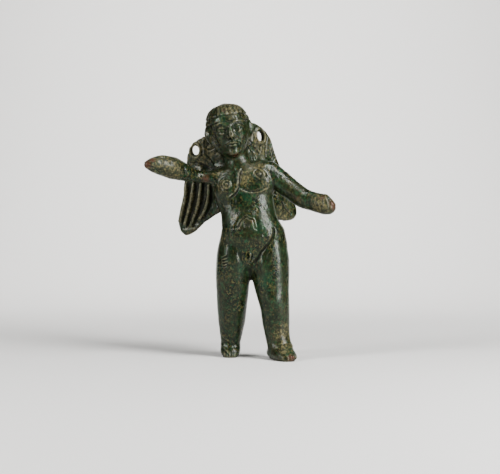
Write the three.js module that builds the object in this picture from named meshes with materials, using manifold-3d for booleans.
// A small solid-cast bronze statuette of a winged nude child, after classical models.
// Millimetres, +Z up. The figure faces -Y, and +X is the viewer's right.
// The origin is on the ground, under the middle of the figure's box.
// Every form is a closed geometry, and all of them are joined into one casting.

import * as THREE from 'three';
import { LoftGeometry } from 'three/addons/geometries/LoftGeometry.js';
import { mergeVertices } from 'three/addons/utils/BufferGeometryUtils.js';
import Module from 'manifold-3d';

const wasm = await Module();
wasm.setup();

const { degToRad, lerp } = THREE.MathUtils;

// The figure is laid out about its own standing place, and this shift brings its box's middle to the origin.
const CENTRE = [2.575, -2.05];

// Stations along each limb: x, y, z of the section's centre, its half width and its half depth.
const TORSO = [
  [0.5, 0.6, 25.8, 4.0, 3.6],
  [0.6, 0.5, 28.0, 7.0, 5.0],
  [0.85, 0.3, 31.4, 9.85, 5.8],
  [0.6, -0.5, 34.8, 9.2, 6.0],
  [-0.1, -0.9, 38.0, 7.9, 5.7],
  [-0.6, -0.2, 41.4, 7.6, 4.7],
  [-1.3, 0.3, 44.8, 7.9, 4.8],
  [-1.9, 0.4, 48.0, 8.6, 5.0],
  [-2.5, 0.4, 50.6, 8.3, 4.7],
  [-2.9, 0.5, 52.8, 6.4, 4.1],
  [-3.1, 0.6, 54.6, 4.0, 3.3],
];
const NECK = [
  [-2.9, 0.9, 51.0, 4.6, 3.6],
  [-3.3, 0.6, 54.2, 3.9, 3.2],
  [-4.0, 0.2, 57.4, 3.4, 3.2],
  [-4.7, 0.2, 60.4, 3.4, 3.4],
];
const LEADING_LEG = [
  [5.4, 0.3, 36.2, 3.0, 4.0],
  [5.3, 0.2, 32.6, 4.9, 5.3],
  [5.35, 0.1, 29.0, 5.65, 5.7],
  [5.6, -0.1, 25.0, 5.6, 5.5],
  [5.9, -0.5, 20.8, 5.25, 4.8],
  [6.7, -1.2, 17.2, 4.45, 4.3],
  [7.05, -0.4, 13.0, 4.1, 4.4],
  [7.3, -0.2, 9.6, 3.9, 4.0],
  [7.7, -0.6, 6.2, 3.5, 3.4],
  [8.15, -0.8, 3.6, 3.35, 3.2],
];
const TRAILING_LEG = [
  [-3.9, 0.4, 34.6, 3.4, 4.2],
  [-4.1, 0.4, 31.8, 4.8, 5.2],
  [-4.2, 0.5, 28.4, 5.3, 5.6],
  [-4.75, 0.7, 25.0, 5.0, 5.3],
  [-4.8, 1.2, 20.8, 4.9, 4.6],
  [-4.97, 1.7, 17.2, 4.5, 4.2],
  [-5.15, 3.7, 13.0, 4.2, 4.3],
  [-5.2, 5.0, 9.6, 3.9, 3.9],
  [-5.4, 5.6, 6.6, 3.3, 3.2],
  [-5.5, 5.9, 4.8, 3.05, 3.0],
];
// Feet run from the heel to the toes.
const LEADING_FOOT = [
  [6.8, 2.0, 1.8, 2.3, 2.0],
  [7.5, -0.2, 2.2, 2.7, 2.3],
  [8.8, -2.9, 1.8, 3.1, 2.1],
  [10.1, -5.0, 1.3, 3.1, 1.6],
  [11.1, -6.6, 0.9, 2.4, 1.1],
];
const TRAILING_FOOT = [
  [-5.5, 7.8, 4.8, 2.4, 2.0],
  [-5.57, 6.6, 3.6, 2.95, 2.4],
  [-5.6, 5.0, 1.9, 2.9, 2.2],
  [-5.6, 3.5, 0.9, 2.5, 1.7],
  [-5.7, 2.6, 0.5, 1.9, 1.0],
];
const RAISED_ARM = [
  [-6.6, 0.4, 51.2, 3.2, 3.2],
  [-9.4, 0.2, 50.7, 2.6, 2.45],
  [-12.4, -0.2, 50.65, 2.0, 1.75],
  [-15.4, -0.9, 51.1, 2.2, 1.75],
  [-18.0, -2.8, 51.9, 2.9, 2.45],
  [-21.0, -5.4, 52.9, 3.1, 3.2],
  [-24.0, -8.0, 53.6, 2.8, 2.95],
  [-26.2, -10.0, 53.6, 2.2, 2.15],
  [-27.6, -11.3, 53.5, 1.3, 1.2],
];
const LOWERED_ARM = [
  [2.6, 0.3, 52.6, 3.4, 3.4],
  [5.6, 0.1, 52.1, 3.0, 3.3],
  [8.8, -0.4, 49.6, 2.75, 3.05],
  [11.8, -1.0, 47.0, 2.7, 2.95],
  [14.6, -1.8, 44.9, 2.65, 2.9],
  [17.4, -2.8, 43.9, 2.6, 2.8],
  [19.6, -3.9, 43.3, 2.6, 2.85],
  [20.9, -4.6, 42.7, 2.6, 2.8],
  [21.5, -4.9, 42.4, 2.3, 2.4],
];

// Rounded masses that fill out the body: centre and three radii.
const MASSES = {
  chestLeft: [[2.0, 0.9, 48.8], [5.4, 5.8, 5.3]],
  chestRight: [[-5.4, 0.9, 47.6], [5.0, 5.8, 5.3]],
  buttockLeading: [[4.6, 1.0, 29.4], [5.4, 6.1, 6.2]],
  buttockTrailing: [[-3.4, 1.2, 29.0], [5.2, 6.1, 6.2]],
  groin: [[-0.3, -2.9, 28.8], [2.7, 3.0, 3.3]],
};

// Lines cut into the front of the body, as x and z: their depth and half width are CUT.
const CUT = 0.42;
const FRONT_LINES = {
  chestRight: [[-3.5, 52.0], [-3.2, 49.4], [-4.0, 46.9], [-6.5, 45.4]],
  chestLeft: [[-2.4, 47.8], [-0.3, 46.9], [2.0, 46.8], [4.6, 48.0]],
  groinLeft: [[7.0, 36.4], [6.0, 33.4], [3.4, 30.3], [2.0, 27.8]],
  groinRight: [[-6.2, 33.4], [-3.4, 31.3], [-2.9, 28.9], [-1.6, 26.6]],
};
const BACK_LINES = {
  spine: [[-2.6, 49.6], [-1.6, 44.6], [-0.4, 38.8], [0.4, 34.0]],
  cleft: [[0.6, 33.0], [0.7, 29.6], [0.6, 26.4]],
};
// Raised rings on the chest and a raised arch over the navel, as x and z.
const NIPPLES = [{ at: [-6.3, 48.6], radius: 0.95 }, { at: [2.8, 51.0], radius: 1.1 }];
const NIPPLE_TUBE = 0.32;
const NAVEL_ARCH = [[-3.9, 36.8], [-2.5, 39.9], [-1.0, 40.6], [0.7, 39.7], [1.9, 36.9]];
const NAVEL = [[-1.1, 38.0], [-1.0, 36.8]];
const ARCH_TUBE = 0.6;

// Head, in its own frame: origin at its middle, the face towards -Y.
const HEAD_AT = [-5.9, 0.0, 63.6];
const HEAD_LEAN = degToRad(10.5);
const HEAD_TURN = degToRad(4);
// Level sections: height, y of the centre, half width, half depth.
const HEAD = [
  [-7.0, -3.2, 1.0, 1.1],
  [-6.4, -2.8, 2.5, 2.6],
  [-5.2, -1.9, 3.9, 4.1],
  [-3.4, -0.9, 5.1, 5.2],
  [-1.6, -0.2, 5.6, 5.9],
  [0.2, 0.2, 5.8, 6.2],
  [2.2, 0.5, 5.9, 6.5],
  [4.0, 0.6, 5.7, 6.2],
  [5.6, 0.6, 4.8, 5.2],
  [6.7, 0.6, 3.6, 3.9],
  [7.4, 0.6, 2.4, 2.6],
  [7.85, 0.6, 0.5, 0.55],
];
const NOSE = [
  [0, -5.8, 1.3, 0.6, 0.6],
  [0, -6.4, -0.4, 0.6, 0.6],
  [0, -6.9, -1.9, 0.95, 0.75],
  [0, -6.0, -2.7, 1.1, 0.6],
];
const EYE = { across: 2.4, front: -5.0, height: 0.0, radii: [1.2, 0.8, 0.75] };
const SOCKET = { front: -6.7, height: 0.1, radii: [1.8, 1.3, 1.1] };
const BROW = [
  [0.7, -5.9, 1.2, 0.5, 0.6],
  [2.5, -5.5, 1.7, 0.5, 0.6],
  [4.4, -4.0, 1.1, 0.5, 0.6],
];
const UPPER_LIP = [
  [-1.7, -4.7, -4.25, 0.35, 0.35],
  [0, -5.6, -4.0, 0.55, 0.5],
  [1.7, -4.7, -4.25, 0.35, 0.35],
];
const LOWER_LIP = [
  [-1.3, -4.7, -4.8, 0.35, 0.35],
  [0, -5.4, -4.95, 0.55, 0.5],
  [1.3, -4.7, -4.8, 0.35, 0.35],
];
const FACE_MASSES = {
  chin: [[0, -4.2, -6.1], [1.9, 1.5, 1.4]],
  earLeft: [[5.4, 0.8, -0.9], [0.8, 1.2, 1.7]],
  earRight: [[-5.4, 0.8, -0.9], [0.8, 1.2, 1.7]],
};

// Hair: locks fall from the crown over an oval scalp, and a band holds them.
const SCALP = { at: [0, 0.6, 0.3], radii: [6.5, 7.0, 7.35] };
const CROWN_LOCKS = { count: 10, from: degToRad(18), to: degToRad(62), half: 1.5, thick: 0.6 };
const NAPE_LOCKS = { count: 6, from: degToRad(70), to: degToRad(116), half: 1.5, thick: 0.8 };
const NAPE_SPREAD = degToRad(200);
const LOCK_WAVE = degToRad(7);
const LOCK_END = 0.4;
const LOCK_STATIONS = 5;
const LOCK_LIFT = 0.1;
const BAND = { polar: degToRad(66), half: 0.8, thick: 0.3, lift: 0.05, steps: 14, corners: 4 };

// Wings, each in its own flat frame: x outwards, y through the thickness, z up. They are cast by hand and
// differ: the edge runs from the root over the looped top and down round the tips of the feathers.
const WINGS = [
  {
    side: -1,
    lean: degToRad(9.5),
    sweep: degToRad(28),
    wide: 1.05,
    tall: 1.0,
    eye: [10.7, 6.6],
    edge: [
      [2.0, 3.4], [4.4, 8.0], [7.2, 9.9], [9.8, 9.5], [12.6, 7.3], [13.9, 4.5], [14.4, 0.8], [15.2, -2.4],
      [16.8, -6.7], [19.0, -10.7], [19.8, -14.6], [17.9, -17.1], [15.0, -16.2], [12.0, -14.5], [8.0, -12.6],
      [3.6, -10.4], [2.0, -5.0],
    ],
  },
  {
    side: 1,
    lean: degToRad(8.5),
    sweep: degToRad(19),
    wide: 1.0,
    tall: 1.04,
    eye: [9.5, 7.6],
    edge: [
      [1.6, 4.4], [3.6, 9.6], [6.4, 11.7], [9.3, 11.0], [12.3, 8.8], [13.9, 5.4], [14.3, 1.0], [15.4, -3.4],
      [17.4, -8.2], [19.4, -12.6], [19.7, -15.0], [17.9, -16.5], [14.8, -16.6], [10.8, -15.7], [7.0, -12.6],
      [3.2, -10.2], [1.8, -5.0],
    ],
  },
];
const WINGS_AT = [-3.1, 0.3, 54.2];
const CHEST_TURN = degToRad(13);
const WING_BACK = 3.6;
const WING_CAMBER = 0.006;
const WING_PLATE = { thick: 1.0, bevel: 0.4, steps: 25 };
const WING_ROOT = { at: [3.2, -0.4, -3.4], radii: [4.2, 2.3, 4.8] };
const WING_LOBE = { from: [-1.0, -0.2, -0.7], radii: [3.1, 1.05, 3.3] };
const WING_EYE = { radii: [1.15, 1.5], deep: 8 };
const FEATHERS = [
  [[14.6, 0.0], [16.0, -5.8], [17.9, -10.2], [19.3, -13.6]],
  [[12.4, -1.2], [14.2, -6.7], [16.0, -10.7], [18.2, -15.0]],
  [[10.2, -2.0], [11.9, -7.2], [13.5, -10.8], [16.6, -15.4]],
  [[8.0, -2.6], [9.4, -7.4], [10.8, -10.6], [13.7, -13.9]],
  [[5.6, -3.0], [6.5, -7.2], [7.7, -9.7], [10.2, -11.9]],
];
const FEATHER_HALF = [0.9, 1.35, 1.4, 0.9];
const FEATHER_THICK = [0.9, 1.25, 1.15, 0.85];
const COVERTS = [
  [[12.8, 4.0], [13.6, 0.4], [14.3, -3.2]],
  [[9.6, 2.2], [10.4, -1.2], [11.2, -4.4]],
  [[6.4, 2.2], [6.9, -1.6], [7.6, -4.8]],
];
const COVERT_HALF = [1.2, 1.7, 1.0];
const COVERT_THICK = [1.2, 1.5, 1.0];

// Meshing: sides round a form, sections along it and rings in each rounded end. A rounded end stops short
// of its pole by CAP_END of a ring, and points closer than WELD are one.
const MESH = {
  torso: { sides: 17, rings: 10, dome: 1, square: 2.2 },
  neck: { sides: 10, rings: 2, dome: 1 },
  leg: { sides: 12, rings: 8, dome: 1 },
  foot: { sides: 10, rings: 5, dome: 2, square: 2.4 },
  arm: { sides: 10, rings: 8, dome: 2, across: [0, 1, 0] },
  skull: { sides: 15, rings: 10, dome: 1, square: 2.15 },
  nose: { sides: 5, rings: 3, dome: 1 },
  lip: { sides: 4, rings: 3, dome: 1, across: [0, 0, 1] },
  lock: { sides: 4, rings: 2, dome: 1 },
  feather: { sides: 4, rings: 3, dome: 1 },
  line: { sides: 3, rings: 4, dome: 1 },
  mass: { around: 11, down: 7 },
  faceMass: { around: 8, down: 5 },
  socket: { around: 6, down: 4 },
  lobe: { around: 10, down: 5 },
  ring: { corners: 4, steps: 9 },
  eye: { sides: 10 },
};
const CAP_END = 0.4;
const WELD = 1e-4;
const GROUND = { side: 90, deep: 20 };

const point = ([x, y, z]) => new THREE.Vector3(x, y, z);
const mirrored = (stations) => stations.map(([x, ...rest]) => [-x, ...rest]);

// A closed geometry as a solid that can be joined and cut.
function solid(geometry, matrix = new THREE.Matrix4()) {
  const bare = new THREE.BufferGeometry().copy(geometry).applyMatrix4(matrix);
  bare.deleteAttribute('normal');
  bare.deleteAttribute('uv');
  const merged = mergeVertices(bare, WELD);
  const triVerts = new Uint32Array(merged.index.array);
  if (matrix.determinant() < 0) triVerts.reverse();
  return new wasm.Manifold(new wasm.Mesh({
    numProp: 3,
    vertProperties: merged.attributes.position.array,
    triVerts,
  }));
}

const join = (solids) => solids.reduce((whole, next) => whole.add(next));

function toGeometry(whole) {
  const { vertProperties, triVerts } = whole.getMesh();
  const geometry = new THREE.BufferGeometry();
  geometry.setAttribute('position', new THREE.BufferAttribute(vertProperties, 3));
  geometry.setIndex(new THREE.BufferAttribute(triVerts, 1));
  return geometry;
}

// A smooth form through stations, with rounded ends. The sections stand square to the spine,
// and their width lies as near to the given direction as it can.
function drawn(stations, { sides, rings, dome, across = [1, 0, 0], square = 2 }) {
  const spine = new THREE.CatmullRomCurve3(stations.map(point), false, 'centripetal');
  const sizes = new THREE.CatmullRomCurve3(
    stations.map(([, , , wide, deep]) => new THREE.Vector3(wide, deep, 0)), false, 'catmullrom', 0.5);
  const places = [];
  for (let i = 0; i <= rings; i++) places.push({ t: i / rings, grow: 1, reach: 0 });
  for (let i = 1; i <= dome; i++) {
    const angle = (i / (dome + CAP_END)) * Math.PI / 2;
    const cap = { grow: Math.cos(angle), reach: Math.sin(angle) };
    places.push({ t: 1, ...cap });
    places.unshift({ t: 0, grow: cap.grow, reach: -cap.reach });
  }
  const sections = places.map(({ t, grow, reach }) => {
    const size = sizes.getPoint(t);
    const along = spine.getTangent(t);
    const wide = point(across).addScaledVector(along, -point(across).dot(along)).normalize();
    const deep = new THREE.Vector3().crossVectors(along, wide);
    const centre = spine.getPoint(t).addScaledVector(along, reach * Math.min(size.x, size.y));
    return Array.from({ length: sides }, (_, k) => {
      const angle = (k / sides) * 2 * Math.PI;
      const c = Math.cos(angle);
      const s = Math.sin(angle);
      const full = (Math.abs(c) ** square + Math.abs(s) ** square) ** (-1 / square) * grow;
      return centre.clone().addScaledVector(wide, c * full * size.x).addScaledVector(deep, s * full * size.y);
    });
  });
  return new LoftGeometry(sections, { capStart: true, capEnd: true });
}

// An oval mass with three radii.
function oval([centre, radii], { around, down }) {
  return new THREE.SphereGeometry(1, around, down)
    .rotateX(Math.PI / 2)
    .scale(...radii)
    .translate(...centre);
}

// Where a line of sight along Y meets the body: facing 1 finds its front and -1 its back.
function finder(whole, facing) {
  const skin = new THREE.Mesh(toGeometry(whole), new THREE.MeshBasicMaterial());
  const ray = new THREE.Raycaster();
  return ([x, z]) => {
    ray.set(new THREE.Vector3(x, -facing * GROUND.side, z), new THREE.Vector3(0, facing, 0));
    return ray.intersectObject(skin)[0].point.y;
  };
}

// A thin round form that follows the surface through a few points.
function onSurface(points, find, radius, form) {
  const path = new THREE.CatmullRomCurve3(points.map(([x, z]) => new THREE.Vector3(x, 0, z)));
  const places = path.getPoints(form.rings).map(({ x, z }) => [x, find([x, z]), z, radius, radius]);
  return solid(drawn(places, { ...form, across: [0, 1, 0] }));
}

function makeLimbs() {
  return join([
    solid(drawn(TORSO, MESH.torso)),
    solid(drawn(NECK, MESH.neck)),
    solid(drawn(LEADING_LEG, MESH.leg)),
    solid(drawn(TRAILING_LEG, MESH.leg)),
    solid(drawn(LEADING_FOOT, MESH.foot)),
    solid(drawn(TRAILING_FOOT, MESH.foot)),
    solid(drawn(RAISED_ARM, MESH.arm)),
    solid(drawn(LOWERED_ARM, MESH.arm)),
    ...Object.values(MASSES).map((mass) => solid(oval(mass, MESH.mass))),
  ]);
}

// The chest lines, the folds of the groin, the spine, the nipples and the navel.
function carveBody(limbs) {
  const front = finder(limbs, 1);
  const back = finder(limbs, -1);
  const cuts = [
    ...Object.values(FRONT_LINES).map((line) => onSurface(line, front, CUT, MESH.line)),
    ...Object.values(BACK_LINES).map((line) => onSurface(line, back, CUT, MESH.line)),
    onSurface(NAVEL, front, CUT * 2, MESH.line),
  ];
  const rings = NIPPLES.map(({ at, radius }) => solid(
    new THREE.TorusGeometry(radius, NIPPLE_TUBE, MESH.ring.corners, MESH.ring.steps)
      .rotateX(Math.PI / 2)
      .translate(at[0], front(at), at[1])));
  const arch = onSurface(NAVEL_ARCH, front, ARCH_TUBE, MESH.line);
  return join([limbs, arch, ...rings]).subtract(join(cuts));
}

// A point over the scalp: polar angle from the crown, azimuth from the face, and height above it.
function onScalp(polar, azimuth, lift = 0) {
  const [rx, ry, rz] = SCALP.radii;
  const [x, y, z] = SCALP.at;
  return [
    x + (rx + lift) * Math.sin(polar) * Math.sin(azimuth),
    y - (ry + lift) * Math.sin(polar) * Math.cos(azimuth),
    z + (rz + lift) * Math.cos(polar),
  ];
}

// One lock of hair: it narrows at both ends and waves from side to side.
function lock(azimuth, { from, to, half, thick }, matrix) {
  const stations = Array.from({ length: LOCK_STATIONS }, (_, i) => {
    const along = i / (LOCK_STATIONS - 1);
    const sway = LOCK_WAVE * Math.sin(along * 2 * Math.PI);
    const fat = lerp(LOCK_END, 1, Math.sin(along * Math.PI));
    return [...onScalp(lerp(from, to, along), azimuth + sway, LOCK_LIFT), half * fat, thick * fat];
  });
  const across = [Math.cos(azimuth), Math.sin(azimuth), 0];
  return solid(drawn(stations, { ...MESH.lock, across }), matrix);
}

// A round band about the head, as a closed ring.
function band(matrix) {
  const sections = Array.from({ length: BAND.steps + 1 }, (_, i) => {
    const azimuth = (i / BAND.steps) * 2 * Math.PI;
    return Array.from({ length: BAND.corners }, (_, k) => {
      const angle = (k / BAND.corners) * 2 * Math.PI;
      const polar = BAND.polar + (BAND.half / SCALP.radii[2]) * Math.sin(angle);
      return point(onScalp(polar, azimuth, BAND.lift + BAND.thick * Math.cos(angle)));
    });
  });
  return solid(new LoftGeometry(sections), matrix);
}

function makeHead() {
  const matrix = new THREE.Matrix4()
    .makeTranslation(...HEAD_AT)
    .multiply(new THREE.Matrix4().makeRotationY(-HEAD_LEAN))
    .multiply(new THREE.Matrix4().makeRotationZ(HEAD_TURN));
  const skull = HEAD.map(([height, y, wide, deep]) => [0, y, height, wide, deep]);
  const masses = Object.values(FACE_MASSES).map((mass) => solid(oval(mass, MESH.faceMass), matrix));
  let head = join([solid(drawn(skull, MESH.skull), matrix), ...masses]);
  for (const side of [-1, 1]) {
    const socket = [[side * EYE.across, SOCKET.front, SOCKET.height], SOCKET.radii];
    const eye = [[side * EYE.across, EYE.front, EYE.height], EYE.radii];
    const brow = side < 0 ? mirrored(BROW) : BROW;
    head = head
      .subtract(solid(oval(socket, MESH.socket), matrix))
      .add(solid(oval(eye, MESH.socket), matrix))
      .add(solid(drawn(brow, MESH.lip), matrix));
  }
  const parts = [
    solid(drawn(NOSE, MESH.nose), matrix),
    solid(drawn(UPPER_LIP, MESH.lip), matrix),
    solid(drawn(LOWER_LIP, MESH.lip), matrix),
    band(matrix),
  ];
  for (let i = 0; i < CROWN_LOCKS.count; i++) {
    parts.push(lock(((i + 0.5) / CROWN_LOCKS.count) * 2 * Math.PI, CROWN_LOCKS, matrix));
  }
  for (let i = 0; i < NAPE_LOCKS.count; i++) {
    const across = i / (NAPE_LOCKS.count - 1) - 0.5;
    parts.push(lock(Math.PI + across * NAPE_SPREAD, NAPE_LOCKS, matrix));
  }
  return join([head, ...parts]);
}

// The flat wing with its edge rounded, and its outer end bent back.
function wingPlate(outline) {
  const edge = new THREE.CatmullRomCurve3(
    outline.map(([x, z]) => new THREE.Vector3(x, z, 0)), true, 'centripetal').getPoints(WING_PLATE.steps);
  edge.pop();
  const { thick, bevel } = WING_PLATE;
  return new THREE.ExtrudeGeometry(new THREE.Shape(edge), {
    depth: thick,
    bevelThickness: bevel,
    bevelSize: bevel,
    bevelOffset: -bevel,
    bevelSegments: 1,
  })
    .translate(0, 0, -thick / 2)
    .rotateX(Math.PI / 2);
}

function bent(geometry) {
  const places = geometry.attributes.position;
  for (let i = 0; i < places.count; i++) {
    const x = places.getX(i);
    places.setY(i, places.getY(i) + WING_CAMBER * x * x);
  }
  return geometry;
}

function ridge(line, half, thick, matrix) {
  const stations = line.map(([x, z], i) => [x, 0, z, half[i], thick[i]]);
  return solid(bent(drawn(stations, MESH.feather)), matrix);
}

function makeWing({ side, lean, sweep, wide, tall, eye, edge }) {
  const matrix = new THREE.Matrix4()
    .makeTranslation(...WINGS_AT)
    .multiply(new THREE.Matrix4().makeRotationY(-lean))
    .multiply(new THREE.Matrix4().makeRotationZ(CHEST_TURN))
    .multiply(new THREE.Matrix4().makeScale(side * wide, 1, tall))
    .multiply(new THREE.Matrix4().makeTranslation(0, WING_BACK, 0))
    .multiply(new THREE.Matrix4().makeRotationZ(sweep));
  const hole = new THREE.CylinderGeometry(1, 1, WING_EYE.deep, MESH.eye.sides)
    .scale(WING_EYE.radii[0], 1, WING_EYE.radii[1])
    .translate(eye[0], 0, eye[1]);
  const [x, y, z] = WING_LOBE.from;
  const lobe = [[eye[0] + x, y, eye[1] + z], WING_LOBE.radii];
  return join([
    solid(bent(wingPlate(edge)), matrix),
    solid(bent(oval(lobe, MESH.lobe)), matrix),
    solid(bent(oval([WING_ROOT.at, WING_ROOT.radii], MESH.lobe)), matrix),
    ...FEATHERS.map((line) => ridge(line, FEATHER_HALF, FEATHER_THICK, matrix)),
    ...COVERTS.map((line) => ridge(line, COVERT_HALF, COVERT_THICK, matrix)),
  ]).subtract(solid(hole, matrix));
}

// The soles are cut off level at the ground, and crumbs of the joining are dropped.
function finishCasting(whole) {
  const below = new THREE.BoxGeometry(GROUND.side, GROUND.side, GROUND.deep)
    .translate(0, 0, -GROUND.deep / 2);
  const bodies = whole.subtract(solid(below)).decompose();
  return bodies.sort((a, b) => b.volume() - a.volume())[0];
}

const body = carveBody(makeLimbs());
const casting = finishCasting(join([body, makeHead(), ...WINGS.map(makeWing)]));
const bronze = new THREE.MeshStandardMaterial({ color: 0x2c3626, roughness: 0.42, metalness: 0.75 });
const statuette = new THREE.Mesh(toGeometry(casting).translate(CENTRE[0], CENTRE[1], 0), bronze);
statuette.name = 'statuette';

const group = new THREE.Group();
group.add(statuette);

export default group;
